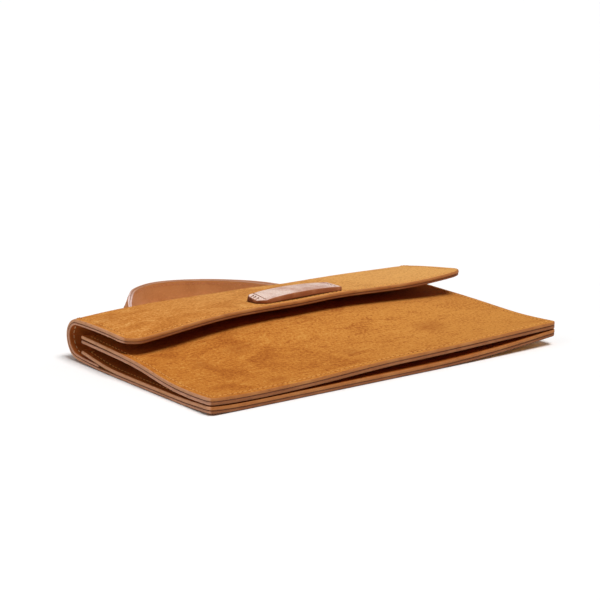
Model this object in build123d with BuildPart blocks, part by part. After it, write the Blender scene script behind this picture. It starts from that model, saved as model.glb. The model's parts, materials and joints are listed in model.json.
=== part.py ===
"""Suede envelope clutch purse with a fold-over flap, a bellows pocket and a carrying strap.

The purse lies on its back panel. X runs along its length, +Y points to the fold, +Z is up.
Every ply of suede or leather is a solid of its own. Inside the script a place on the purse
is given by u, the distance from its left end, and v, the distance from its front edge.
"""

from build123d import *
import os
from math import cos, pi, radians, sin, sqrt

os.makedirs("parts", exist_ok=True)

# Driving dimensions, in millimetres and degrees
length = 251.0  # side to side
mouth_depth = 132.0  # front edge to the pocket's mouth
mouth_to_fold = 5.5  # mouth to where the fold begins to turn
turn_reach = 12.1  # how far the fold stands out from where it begins to turn
hinge_height = 14.1  # middle of the fold above the table
hinge_gap = 0.35  # slit along the middle of the fold, where the flap turns

suede = 1.9  # outer ply of the panels and the flap
lining = 1.3  # inner ply of the flap and the fold
leaf = 2.0  # inner ply of each side of the pocket
glue = 0.1  # glue line between two plies

panel_corner = 3.5  # plan radius of the front corners
flap_corner = 11.0  # plan radius of the flap's free corners

heel_run = 25.5  # where the back panel begins to lift off the table to where the fold begins
heel_rise = 1.5  # lift of the back panel where the fold begins
corner_lift = 6.3  # lift of the right front corner
corner_lift_run = 110.0  # how far that lift reaches along the front edge
corner_lift_slant = 0.6  # how fast it dies away towards the fold
left_lift = 2.0  # lift of the left front corner
left_lift_run = 28.0  # how far that lift reaches

fold_heights = [25.3, 27.5, 27.8, 27.5, 27.2, 26.2, 26.3, 25.6, 24.6]  # top of the fold, evenly spaced
flap_edge_heights = [24.5, 27.0, 30.2, 30.7, 30.7, 31.2, 29.9, 29.8, 32.6]  # top of the free edge
flap_reach_left = 57.5  # turn_start to the free edge, at the left end
flap_reach_right = 54.5  # the same at the right end
flap_bulge = 0.8  # how far the left end of the flap bows up
flap_rise_left = 1.12  # shape of the flap's rise from the fold, at the left end
flap_rise_right = 0.9  # the same at the right end

# Opening of the bellows, front to mouth, at the left and right ends, and what the front edge adds
gape_left = [0.7, 1.2, 2.6, 5.6, 7.5, 8.2, 8.9]
gape_right = [0.5, 0.6, 1.9, 3.6, 5.0, 5.8, 6.3]
gape_front = [0.0, 0.2, 0.6, 2.0, 3.3, 3.6, 3.3, 2.1, 0.0]
# Rise of the pocket's front side under the flap, left end to right
crown_heights = [0.0, 0.3, 4.3, 5.6, 5.8, 5.8, 4.5, 2.8, 0.0]
crown_shares = [0.0, 0.0, 0.2, 0.7, 1.0, 0.95, 0.6]  # shares of that rise, front edge to mouth
ply_spread = 0.5  # how far the front ply parts from its leaf at the mouth
spread_run = 47.0  # where the plies begin to part to the mouth
leaf_lift = 4.7  # how far the rear leaf lifts at the mouth
leaf_lift_run = 40.0  # where it begins to lift to the mouth
leaf_lift_power = 1.75  # shape of that lift
lining_reach = 23.5  # the lining's hem on the back panel to where the fold begins
table_press = 0.1  # how far the resting panel is pressed flat by the table

fold_inset = 18.0  # edge of the panels to the inner fold of the bellows
fold_wall = 1.0  # thickness of the bellows' inner fold
fold_end = 2.5  # mouth to the inner folds' ends
fold_clearance = 0.15  # gap between the inner fold and the leaves

tab_length = 60.0
tab_width = 15.0
tab_thickness = 3.0
tab_centre = 124.5  # left end to the middle of the tab
tab_margin = 4.5  # free edge to the tab
tab_bow = 1.9  # how far the tab's middle stands off the flap
tab_clip = 4.0  # clipped corners of the tab's left end
tab_seat = 0.15  # gap between the tab and the suede
thread = 0.4  # thickness of the thread
thread_seat = 0.05  # gap between the thread and the tab
stitch_length = 2.6
stitch_width = 0.7
stitch_spacing = 3.4
stitch_inset = 3.5  # end of the tab to its row of stitches
stitches_per_row = 4

magnet_radius = 5.0
magnet_thickness = 1.0
magnet_clearance = 0.1
magnet_margin = 14.0  # free edge of the flap to the magnets

strap_width = 17.0
strap_ply = 1.2
strap_glue = 0.2  # glue line between the strap's plies
strap_bays = 24  # bays between the sections that shape it
strap_root_height = 6.0  # middle of the strap's ends above the table
strap_seat = 0.35  # gap between the strap's ends and the fold
# Middle line of the strap: left end to it, hinge of the strap to it, height, lean off upright
strap_line = [
    (43.0, 0.0, 6.0, 90.0),
    (44.0, 7.0, 6.0, 84.0),
    (48.0, 17.0, 6.9, 62.0),
    (56.5, 30.0, 8.2, 43.0),
    (70.0, 48.0, 8.9, 30.0),
    (87.0, 64.5, 8.9, 16.0),
    (109.0, 72.0, 8.9, 9.0),
    (133.0, 65.0, 8.9, 9.0),
    (157.0, 48.0, 8.9, 17.0),
    (178.0, 30.0, 8.4, 41.0),
    (191.0, 17.0, 6.9, 62.0),
    (195.2, 7.0, 6.0, 84.0),
    (196.0, 0.0, 6.0, 90.0),
]

# Derived sizes
turn_start = mouth_depth + mouth_to_fold  # front edge to where the fold begins to turn
heel_start = turn_start - heel_run
lining_start = turn_start - lining_reach
spread_start = mouth_depth - spread_run
leaf_lift_start = mouth_depth - leaf_lift_run
left_x = -length / 2
front_y = -(turn_start + turn_reach) / 2
pair = suede + glue + leaf
wrap = suede + glue + lining
strap_thickness = 2 * strap_ply + strap_glue
overhang = 3.0  # plies are drawn this much too large and then trimmed to their outline
tall = 2 * max(flap_edge_heights)  # height of the trimming prisms
bays = 10  # sections along the length are length / bays apart
slope_step = 1.0  # step for reading a surface's slope
stations = [-overhang] + [length * k / bays for k in range(1, bays)] + [length + overhang]


def smooth(values, s):
    """Height at s, from 0 to 1, of a smooth curve through evenly spaced values."""
    n = len(values) - 1
    s = min(max(s, 0.0), 1.0)
    k = min(int(s * n), n - 1)
    t = s * n - k
    a, b, c, d = values[max(k - 1, 0)], values[k], values[k + 1], values[min(k + 2, n)]
    return b + 0.5 * t * (c - a + t * (2 * a - 5 * b + 4 * c - d + t * (3 * (b - c) + d - a)))


def ramp(value, start, run):
    """0 before start, rising to 1 over run."""
    return min(max((value - start) / run, 0.0), 1.0)


def table_gap(u, v):
    """Height of the back panel's underside above the table."""
    corner = ramp(u - corner_lift_slant * v, length - corner_lift_run, corner_lift_run)
    left = ramp(left_lift_run - u - v, 0.0, left_lift_run)
    heel = ramp(v, heel_start, turn_start - heel_start)
    return corner_lift * corner**2 + left_lift * left**2 + heel_rise * heel**2 * (3 - 2 * heel)


def back_under(u, v):
    """Underside of the back panel before the table flattens it."""
    return table_gap(u, v) - table_press


def leaf_under(u, v):
    """Underside of the rear leaf of the pocket."""
    lift = ramp(v, leaf_lift_start, mouth_depth - leaf_lift_start)
    return table_gap(u, min(v, heel_start)) + suede + glue + leaf_lift * lift**leaf_lift_power


def bellows(u, v):
    """Opening between the two sides of the pocket, as if the rear leaf lay flat."""
    t = v / mouth_depth
    ends = [smooth(gape_left, t), smooth(gape_right, t)]
    side = ends[0] + (ends[1] - ends[0]) * u / length
    front = smooth(gape_front, u / length) * min(max(1 - t, 0.0), 1.0)
    return side + front + smooth(crown_heights, u / length) * smooth(crown_shares, t)


def front_under(u, v):
    """Underside of the front leaf."""
    return table_gap(u, min(v, heel_start)) + pair + bellows(u, v)


def front_split(u, v):
    """Underside of the front panel's suede."""
    return front_under(u, v) + leaf + glue + ply_spread * ramp(v, spread_start, mouth_depth - spread_start)


def flap_reach(u):
    """Distance from turn_start to the free edge."""
    return flap_reach_left + (flap_reach_right - flap_reach_left) * u / length


def flap_top(u, v):
    """Upper face of the flap."""
    t = max((turn_start - v) / flap_reach(u), 0.0)
    low = smooth(fold_heights, u / length)
    high = smooth(flap_edge_heights, u / length)
    bow = 4 * flap_bulge * max(1 - 2 * u / length, 0.0) * min(t, 1.0) * (1 - min(t, 1.0))
    power = flap_rise_left + (flap_rise_right - flap_rise_left) * u / length
    return low + (high - low) * t**power + bow


def spots(start, end, count):
    """Evenly spaced values from start to end."""
    return [start + (end - start) * k / (count - 1) for k in range(count)]


def ply_section(u, depths, under, over):
    """Section of a ply at u: a closed outline between two height functions."""
    low = [(v + front_y, under(u, v)) for v in depths]
    high = [(v + front_y, over(u, v)) for v in depths]
    with BuildSketch(Plane.YZ.offset(u + left_x)) as section:
        with BuildLine():
            Spline(*low)
            Line(low[-1], high[-1])
            Spline(*high[::-1])
            Line(high[0], low[0])
        make_face()
    return section.sketch


def turned_section(u, depths, face, inset, thickness, upper):
    """Section of a wrap ply at u: its flat part and its half of the fold."""
    side = 1 if upper else -1
    outer = [(v + front_y, face(u, v) - side * inset) for v in depths]
    inner = [(y, z - side * thickness) for y, z in outer]
    centre = (turn_start + front_y, hinge_height)
    rise = abs(face(u, turn_start) - hinge_height)
    with BuildSketch(Plane.YZ.offset(u + left_x)) as section:
        with BuildLine():
            Spline(*outer)
            far = Spline(*quarter(centre, turn_reach - inset, rise - inset, side))
            near = Spline(*quarter(centre, turn_reach - inset - thickness, rise - inset - thickness, side))
            Line(far @ 1, near @ 1)
            Spline(*inner)
            Line(inner[0], outer[0])
        make_face()
    return section.sketch


def quarter(centre, across, up, side):
    """Points of a quarter ellipse, from straight above or below centre to just short of level."""
    slit = hinge_gap / 2 / up
    turns = [pi / 2 - (pi / 2 - slit) * k / 6 for k in range(7)]
    return [(centre[0] + across * cos(a), centre[1] + side * up * sin(a)) for a in turns]


def plan(points, rounded, radius):
    """Plan outline through points of (u, v) on the table, with its corners numbered in rounded given a radius."""
    corners = [(u + left_x, v + front_y) for u, v in points]
    with BuildSketch(Plane.XY) as outline:
        with BuildLine():
            Polyline(*corners, close=True)
        make_face()
        chosen = [outline.vertices().sort_by_distance((*corners[k], 0))[0] for k in rounded]
        fillet(chosen, radius)
    return outline.sketch


def straight(u_low, u_high, v_low, v_high):
    """Corners of a plan rectangle, counter-clockwise from the left front."""
    return [(u_low, v_low), (u_high, v_low), (u_high, v_high), (u_low, v_high)]


behind = turn_start + turn_reach + overhang
back_depths = spots(-overhang, turn_start, 9)
front_depths = spots(-overhang, mouth_depth + overhang, 9)
flap_depths = spots(turn_start - flap_reach_left - overhang, turn_start, 8)
flap_edges = [turn_start - flap_reach_left, turn_start - flap_reach_right]

# Back panel with the lower half of the fold
with BuildPart() as back_suede:
    loft([turned_section(u, back_depths, back_under, 0.0, suede, False) for u in stations])
    add(plan(straight(0, length, 0, behind), [0, 1], panel_corner))
    extrude(amount=tall, mode=Mode.INTERSECT)
back_suede.part.label = "back_suede"
export_step(back_suede.part, "parts/back_suede.step")

with BuildPart() as back_lining:
    loft([turned_section(u, back_depths, table_gap, suede + glue, lining, False) for u in stations])
    add(plan(straight(0, length, lining_start, behind), [], 0))
    extrude(amount=tall, mode=Mode.INTERSECT)
back_lining.part.label = "back_lining"
export_step(back_lining.part, "parts/back_lining.step")

# Pocket: a rear leaf on the back panel, a front leaf, and the front panel over it
panel_plan = plan(straight(0, length, 0, mouth_depth), [0, 1], panel_corner)

with BuildPart() as rear_leaf:
    loft([ply_section(u, front_depths, leaf_under, lambda u, v: leaf_under(u, v) + leaf) for u in stations])
    add(panel_plan)
    extrude(amount=tall, mode=Mode.INTERSECT)
rear_leaf.part.label = "rear_leaf"
export_step(rear_leaf.part, "parts/rear_leaf.step")


def magnet_plane(surface, depth):
    """Plane on a surface at the magnets' place, depth below it, facing along its normal."""
    u = tab_centre
    v = turn_start - flap_reach(u) + magnet_margin
    along = Vector(slope_step, 0, surface(u + slope_step, v) - surface(u, v))
    across = Vector(0, slope_step, surface(u, v + slope_step) - surface(u, v))
    up = along.cross(across).normalized()
    seat = Vector(u + left_x, v + front_y, surface(u, v)) - up * depth
    return Plane(origin=seat, x_dir=along, z_dir=up)


def front_leaf_top(u, v):
    """Upper face of the front leaf, where the front magnet is let in."""
    return front_under(u, v) + leaf


recess = magnet_thickness + magnet_clearance
front_magnet_plane = magnet_plane(front_leaf_top, recess)

with BuildPart() as front_leaf:
    loft([ply_section(u, front_depths, front_under, front_leaf_top) for u in stations])
    add(panel_plan)
    extrude(amount=tall, mode=Mode.INTERSECT)
    with BuildSketch(front_magnet_plane):
        Circle(magnet_radius + magnet_clearance)
    extrude(amount=recess + overhang, mode=Mode.SUBTRACT)
front_leaf.part.label = "front_leaf"
export_step(front_leaf.part, "parts/front_leaf.step")

with BuildPart() as front_suede:
    loft([ply_section(u, front_depths, front_split, lambda u, v: front_split(u, v) + suede) for u in stations])
    add(panel_plan)
    extrude(amount=tall, mode=Mode.INTERSECT)
front_suede.part.label = "front_suede"
export_step(front_suede.part, "parts/front_suede.step")

with BuildPart() as front_magnet:
    with BuildSketch(front_magnet_plane.offset(magnet_clearance / 2)):
        Circle(magnet_radius)
    extrude(amount=magnet_thickness)
front_magnet.part.label = "front_magnet"
export_step(front_magnet.part, "parts/front_magnet.step")


# Inner folds of the bellows, between the two leaves
def fold_under(u, v):
    """Lower edge of the inner fold, on the rear leaf."""
    return leaf_under(u, v) + leaf + fold_clearance


def fold_over(u, v):
    """Upper edge of the inner fold, under the front leaf."""
    return front_under(u, v) - fold_clearance


inset = fold_inset
inner = inset + fold_wall
mouth_end = mouth_depth - fold_end
fold_plans = {
    "left_fold": straight(inset, inner, inner, mouth_end),
    "front_fold": straight(inset, length - inset, inset, inner - glue),
    "right_fold": straight(length - inner, length - inset, inner, mouth_end),
}
for name, corners in fold_plans.items():
    with BuildPart() as fold:
        loft([ply_section(u, front_depths, fold_under, fold_over) for u in stations])
        add(plan(corners, [], 0))
        extrude(amount=tall, mode=Mode.INTERSECT)
    fold.part.label = name
    export_step(fold.part, f"parts/{name}.step")

# Flap with the upper half of the fold
flap_corners = [(0, flap_edges[0]), (length, flap_edges[1]), (length, behind), (0, behind)]
flap_plan = plan(flap_corners, [0, 1], flap_corner)


def flap_suede_under(u, v):
    """Underside of the flap's suede, where the flap magnet is let in."""
    return flap_top(u, v) - suede


flap_magnet_plane = magnet_plane(flap_suede_under, 0.0)

with BuildPart() as flap_suede:
    loft([turned_section(u, flap_depths, flap_top, 0.0, suede, True) for u in stations])
    add(flap_plan)
    extrude(amount=tall, mode=Mode.INTERSECT)
    with BuildSketch(flap_magnet_plane.offset(-overhang)):
        Circle(magnet_radius + magnet_clearance)
    extrude(amount=recess + overhang, mode=Mode.SUBTRACT)
flap_suede.part.label = "flap_suede"
export_step(flap_suede.part, "parts/flap_suede.step")

with BuildPart() as flap_lining:
    loft([turned_section(u, flap_depths, flap_top, suede + glue, lining, True) for u in stations])
    add(flap_plan)
    extrude(amount=tall, mode=Mode.INTERSECT)
flap_lining.part.label = "flap_lining"
export_step(flap_lining.part, "parts/flap_lining.step")

with BuildPart() as flap_magnet:
    with BuildSketch(flap_magnet_plane.offset(magnet_clearance / 2)):
        Circle(magnet_radius)
    extrude(amount=magnet_thickness)
flap_magnet.part.label = "flap_magnet"
export_step(flap_magnet.part, "parts/flap_magnet.step")

# Pull tab on the flap, bowed up in its middle, with a row of stitches at each end
tab_left = tab_centre - tab_length / 2
tab_right = tab_centre + tab_length / 2
tab_front = turn_start - flap_reach(tab_centre) + tab_margin
tab_back = tab_front + tab_width


def tab_under(u, v):
    """Underside of the tab."""
    t = (u - tab_centre) / (tab_length / 2)
    return flap_top(u, v) + tab_seat + tab_bow * max(1 - t**2, 0.0)


def tab_top(u, v):
    """Upper face of the tab."""
    return tab_under(u, v) + tab_thickness


tab_depths = spots(tab_front - overhang, tab_back + overhang, 4)
tab_stations = spots(tab_left - overhang, tab_right + overhang, 7)
tab_outline = [
    (tab_left + tab_clip, tab_front),
    (tab_right, tab_front),
    (tab_right, tab_back),
    (tab_left + tab_clip, tab_back),
    (tab_left, tab_back - tab_clip),
    (tab_left, tab_front + tab_clip),
]

with BuildPart() as flap_tab:
    loft([ply_section(u, tab_depths, tab_under, tab_top) for u in tab_stations])
    add(plan(tab_outline, [], 0))
    extrude(amount=tall, mode=Mode.INTERSECT)
flap_tab.part.label = "flap_tab"
export_step(flap_tab.part, "parts/flap_tab.step")

row_ends = [tab_left + tab_clip + stitch_inset, tab_right - stitch_inset]
with BuildPart() as tab_stitches:
    loft(
        [
            ply_section(
                u,
                tab_depths,
                lambda u, v: tab_top(u, v) + thread_seat,
                lambda u, v: tab_top(u, v) + thread_seat + thread,
            )
            for u in tab_stations
        ]
    )
    with BuildSketch(Plane.XY.offset(-overhang)):
        for row in row_ends:
            with Locations((row + left_x, (tab_front + tab_back) / 2 + front_y)):
                with GridLocations(stitch_spacing, stitch_spacing, 1, stitches_per_row):
                    Rectangle(stitch_width, stitch_length)
    extrude(amount=tall, mode=Mode.INTERSECT)
tab_stitches.part.label = "tab_stitches"
export_step(tab_stitches.part, "parts/tab_stitches.step")

# Carrying strap: two plies that stand on edge and twist flat where they meet the fold
root_rise = (strap_root_height - hinge_height) / (hinge_height - heel_rise)
root_slope = sqrt(1 - root_rise**2)
root_face = turn_start + turn_reach * root_slope
strap_hinge_v = root_face + (strap_seat + strap_thickness / 2) / root_slope
strap_spots = [Vector(u + left_x, strap_hinge_v + d + front_y, z) for u, d, z, _ in strap_line]
with BuildLine(mode=Mode.PRIVATE) as strap_middle:
    strap_curve = Spline(*strap_spots, tangents=[(0, 1, 0), (0, -1, 0)])
strap_marks = [strap_curve.param_at_point(spot) for spot in strap_spots]
strap_leans = [lean for _, _, _, lean in strap_line]


def lean_at(t):
    """Lean of the strap at a parameter of its middle line."""
    k = max(i for i in range(len(strap_marks) - 1) if i == 0 or strap_marks[i] <= t)
    share = (t - strap_marks[k]) / (strap_marks[k + 1] - strap_marks[k])
    return strap_leans[k] + share * (strap_leans[k + 1] - strap_leans[k])


def strap_planes():
    """Section planes along the strap: x across its width, y across its thickness."""
    planes = []
    for t in spots(0.0, 1.0, strap_bays + 1):
        run = strap_curve.tangent_at(t)
        lean = radians(lean_at(t))
        inward = Vector(run.Y, -run.X, 0).normalized()
        width_way = inward * sin(lean) + Vector(0, 0, cos(lean))
        width_way = (width_way - run * width_way.dot(run)).normalized()
        planes.append(Plane(origin=strap_curve.position_at(t), x_dir=width_way, z_dir=run))
    return [planes[0].offset(-overhang)] + planes + [planes[-1].offset(overhang)]


for name, side in (("strap_outer", 1), ("strap_inner", -1)):
    shift = side * (strap_ply + strap_glue) / 2
    with BuildPart() as strap_layer:
        for plane in strap_planes():
            with BuildSketch(plane):
                with Locations((0, shift)):
                    Rectangle(strap_width, strap_ply)
        loft()
        with BuildSketch(Plane.YZ):
            with Locations((turn_start + front_y, hinge_height)):
                Ellipse(turn_reach + strap_seat, hinge_height - heel_rise + strap_seat)
        extrude(amount=length, both=True, mode=Mode.SUBTRACT)
    strap_layer.part.label = name
    export_step(strap_layer.part, f"parts/{name}.step")
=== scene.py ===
"""Looks of a suede envelope clutch purse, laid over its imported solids.

Lengths are in metres. A ply's flat place is (a, b): a runs along the purse's length and b from the
ply's front edge, over the fold where it has one, to its far edge.
"""

from __future__ import annotations

import json
import logging
import math
from dataclasses import dataclass, field
from enum import Enum, IntEnum

import bmesh
import bpy
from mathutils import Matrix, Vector, noise
from mathutils.bvhtree import BVHTree
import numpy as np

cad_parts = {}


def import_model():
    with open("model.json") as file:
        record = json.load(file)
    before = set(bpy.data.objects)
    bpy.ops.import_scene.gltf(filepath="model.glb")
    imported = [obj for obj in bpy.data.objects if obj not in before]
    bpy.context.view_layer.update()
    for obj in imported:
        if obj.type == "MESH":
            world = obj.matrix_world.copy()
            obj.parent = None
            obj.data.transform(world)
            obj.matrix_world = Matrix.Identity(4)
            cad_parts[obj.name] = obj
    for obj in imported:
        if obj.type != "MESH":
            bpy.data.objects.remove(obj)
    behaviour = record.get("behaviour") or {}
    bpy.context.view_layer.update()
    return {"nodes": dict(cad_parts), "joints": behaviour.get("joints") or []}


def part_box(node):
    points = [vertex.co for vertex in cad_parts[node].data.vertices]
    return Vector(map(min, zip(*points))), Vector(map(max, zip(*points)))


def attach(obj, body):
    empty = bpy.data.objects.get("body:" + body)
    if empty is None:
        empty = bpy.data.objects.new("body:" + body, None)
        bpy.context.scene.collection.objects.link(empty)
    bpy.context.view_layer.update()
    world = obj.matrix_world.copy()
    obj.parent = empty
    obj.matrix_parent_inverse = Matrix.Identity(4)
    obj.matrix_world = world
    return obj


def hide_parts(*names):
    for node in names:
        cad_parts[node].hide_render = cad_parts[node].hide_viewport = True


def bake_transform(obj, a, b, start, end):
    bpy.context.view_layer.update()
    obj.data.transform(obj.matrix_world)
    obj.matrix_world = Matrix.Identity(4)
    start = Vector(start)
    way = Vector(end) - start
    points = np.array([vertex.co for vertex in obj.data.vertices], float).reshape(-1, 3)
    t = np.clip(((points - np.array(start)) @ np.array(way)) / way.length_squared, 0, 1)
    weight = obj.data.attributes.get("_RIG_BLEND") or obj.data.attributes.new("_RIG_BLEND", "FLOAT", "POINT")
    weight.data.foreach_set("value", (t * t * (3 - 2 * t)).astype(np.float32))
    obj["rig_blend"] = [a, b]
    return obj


logging.basicConfig(level=logging.INFO, format="%(message)s")
log = logging.getLogger("purse")

MM = 0.001
JUST_INSIDE = 1e-5  # stored in place of a smaller distance from the rim, which is 0 on the rim alone

Colour = tuple[float, float, float]
Socket = bpy.types.NodeSocket
Mesh = bmesh.types.BMesh
Piece = bpy.types.Object
Nodes = dict[str, bpy.types.Object]


def tint(red: int, green: int, blue: int) -> Colour:
    """Linear colour of an 8-bit screen colour."""
    shares = (red / 255, green / 255, blue / 255)
    return tuple(c / 12.92 if c <= 0.04045 else ((c + 0.055) / 1.055) ** 2.4 for c in shares)


def spread(start: float, end: float, step: float) -> list[float]:
    """Evenly spaced values from start to end, about a step apart."""
    count = max(1, round(abs(end - start) / step))
    return [start + (end - start) * k / count for k in range(count + 1)]


def stops(length: float, fine: float, coarse: float, margin: float) -> list[float]:
    """Places of the grid lines over a length.

    Args:
        length: What they cover, from 0.
        fine: Their step within a margin of both ends.
        coarse: Their step between the margins.
        margin: The width of each margin.

    Returns:
        The places, in order.
    """
    first = spread(0, margin, fine)[:-1]
    last = spread(length - margin, length, fine)[1:]
    return first + spread(margin, length - margin, coarse) + last


class Side(Enum):
    """The way a surface is looked for on a solid."""

    ABOVE = -1.0
    BELOW = 1.0


class Part(IntEnum):
    """The number of the finish on a part of a ply."""

    FACE = 0
    EDGE = 1
    UNDER = 2  # the rounded rim that faces the table, painted near black as the contact shadow
    LOW = 3  # the cut edge close to the table, painted darker as the shade near it


# ---------------------------------------------------------------- node graphs


class Graph:
    """A node tree being wired."""

    def __init__(self, tree: bpy.types.NodeTree) -> None:
        """Starts on a tree."""
        self.tree = tree

    def feed(self, socket: Socket, value: object) -> None:
        """Gives an input its value.

        Args:
            socket: The input.
            value: Another node's output, a number, or a tuple, which for a colour has no alpha.
        """
        if isinstance(value, Socket):
            self.tree.links.new(value, socket)
        elif socket.type == "RGBA":
            socket.default_value = (*value, 1.0)
        else:
            socket.default_value = value

    def fill(self, node: bpy.types.Node, **values: object) -> None:
        """Feeds a node's inputs, named with _ for each space."""
        for name, value in values.items():
            self.feed(node.inputs[name.replace("_", " ")], value)

    def node(self, kind: str, **values: object) -> bpy.types.Node:
        """Adds a node.

        Args:
            kind: Its type, without the ShaderNode prefix.
            **values: Properties by name; an input is given as in_NUMBER or in_Name.

        Returns:
            The node.
        """
        made = self.tree.nodes.new("ShaderNode" + kind)
        for key, value in values.items():
            if not key.startswith("in_"):
                setattr(made, key, value)
        for key, value in values.items():
            if key.startswith("in_"):
                name = key.removeprefix("in_").replace("_", " ")
                self.feed(made.inputs[int(name) if name.isdigit() else name], value)
        return made

    def math(self, operation: str, *values: object, clamp: bool = False) -> Socket:
        """Result of a Math node."""
        inputs = {f"in_{k}": value for k, value in enumerate(values)}
        return self.node("Math", operation=operation, use_clamp=clamp, **inputs).outputs[0]

    def times(self, first: object, second: object, clamp: bool = False) -> Socket:
        """Product of two values, kept between 0 and 1 when clamped."""
        return self.math("MULTIPLY", first, second, clamp=clamp)

    def plus(self, first: object, second: object) -> Socket:
        """Sum of two values."""
        return self.math("ADD", first, second)

    def minus(self, first: object, second: object) -> Socket:
        """Difference of two values."""
        return self.math("SUBTRACT", first, second)

    def mix(self, factor: object, first: object, second: object) -> Socket:
        """Blend of two colours.

        Args:
            factor: The second colour's share.
            first: A colour.
            second: Another colour.

        Returns:
            The blended colour.
        """
        made = self.node("Mix", data_type="RGBA")
        for number, value in ((0, factor), (6, first), (7, second)):
            self.feed(made.inputs[number], value)
        return made.outputs[2]

    def ramp(
        self, value: object, low: float, high: float, first: float = 0.0, second: float = 1.0
    ) -> Socket:
        """Remaps a value smoothly.

        Args:
            value: The value.
            low: The value that becomes first; it may be above high.
            high: The value that becomes second.
            first: The result at low and beyond.
            second: The result at high and beyond.

        Returns:
            The result.
        """
        made = self.node("MapRange", interpolation_type="SMOOTHSTEP", in_Value=value)
        self.fill(made, From_Min=low, From_Max=high, To_Min=first, To_Max=second)
        return made.outputs[0]

    def noise(
        self, vector: object, scale: float, detail: float = 3.0, rough: float = 0.55, warp: float = 0.0
    ) -> Socket:
        """Factor of a Noise texture.

        Args:
            vector: Where it is read.
            scale: Its scale, per metre.
            detail: How many finer layers it has.
            rough: How strong the finer layers are.
            warp: How much it is distorted.

        Returns:
            The factor, about 0.5 on the whole.
        """
        made = self.node("TexNoise", in_Vector=vector)
        self.fill(made, Scale=scale, Detail=detail, Roughness=rough, Distortion=warp)
        return made.outputs[0]

    def stretched(self, vector: object, scale: tuple[float, float, float], turn: float = 0.0) -> Socket:
        """Scales a vector along its axes and turns it about Z.

        Args:
            vector: The vector.
            scale: The factor for each axis.
            turn: The angle, in degrees.

        Returns:
            The new vector.
        """
        made = self.node("Mapping", in_Vector=vector)
        self.fill(made, Scale=scale, Rotation=(0.0, 0.0, math.radians(turn)))
        return made.outputs[0]

    def bump(self, height: object, strength: float, distance: float) -> Socket:
        """Normal of a surface with a height."""
        return self.node("Bump", in_Strength=strength, in_Distance=distance, in_Height=height).outputs[0]

    def place(self) -> Socket:
        """Place in space."""
        return self.node("TexCoord").outputs["Object"]

    def flat(self) -> Socket:
        """Flat place on a ply."""
        return self.node("UVMap", uv_map="flat").outputs[0]

    def stored(self, name: str) -> Socket:
        """Value stored on the vertices under a name."""
        return self.node("Attribute", attribute_name=name).outputs["Fac"]


class Effect:
    """A shader node group that several finishes share."""

    name = "effect"
    takes: dict[str, tuple[str, object]] = {}
    gives: dict[str, str] = {}

    def wire(self, graph: Graph, given: dict[str, Socket]) -> dict[str, Socket]:
        """Builds the group's inside.

        Args:
            graph: The group's tree.
            given: What it takes, by name.

        Returns:
            What it gives, by name.
        """
        raise NotImplementedError

    def tree(self) -> bpy.types.NodeTree:
        """Finds the group, or builds it on its first use.

        Returns:
            The group.
        """
        found = bpy.data.node_groups.get(self.name)
        if found:
            return found
        tree = bpy.data.node_groups.new(self.name, "ShaderNodeTree")
        for name, (kind, value) in self.takes.items():
            socket = tree.interface.new_socket(name=name, in_out="INPUT", socket_type="NodeSocket" + kind)
            if value is not None:
                socket.default_value = (*value, 1.0) if kind == "Color" else value
        for name, kind in self.gives.items():
            tree.interface.new_socket(name=name, in_out="OUTPUT", socket_type="NodeSocket" + kind)
        start = tree.nodes.new("NodeGroupInput")
        end = tree.nodes.new("NodeGroupOutput")
        given = {socket.name: socket for socket in start.outputs if socket.name}
        for name, socket in self.wire(Graph(tree), given).items():
            tree.links.new(socket, end.inputs[name])
        return tree

    def within(self, graph: Graph, **values: object) -> bpy.types.Node:
        """Puts the group into a material.

        Args:
            graph: The material's tree.
            **values: The group's inputs, named with _ for each space.

        Returns:
            The group's node.
        """
        made = graph.tree.nodes.new("ShaderNodeGroup")
        made.node_tree = self.tree()
        graph.fill(made, **values)
        return made


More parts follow.
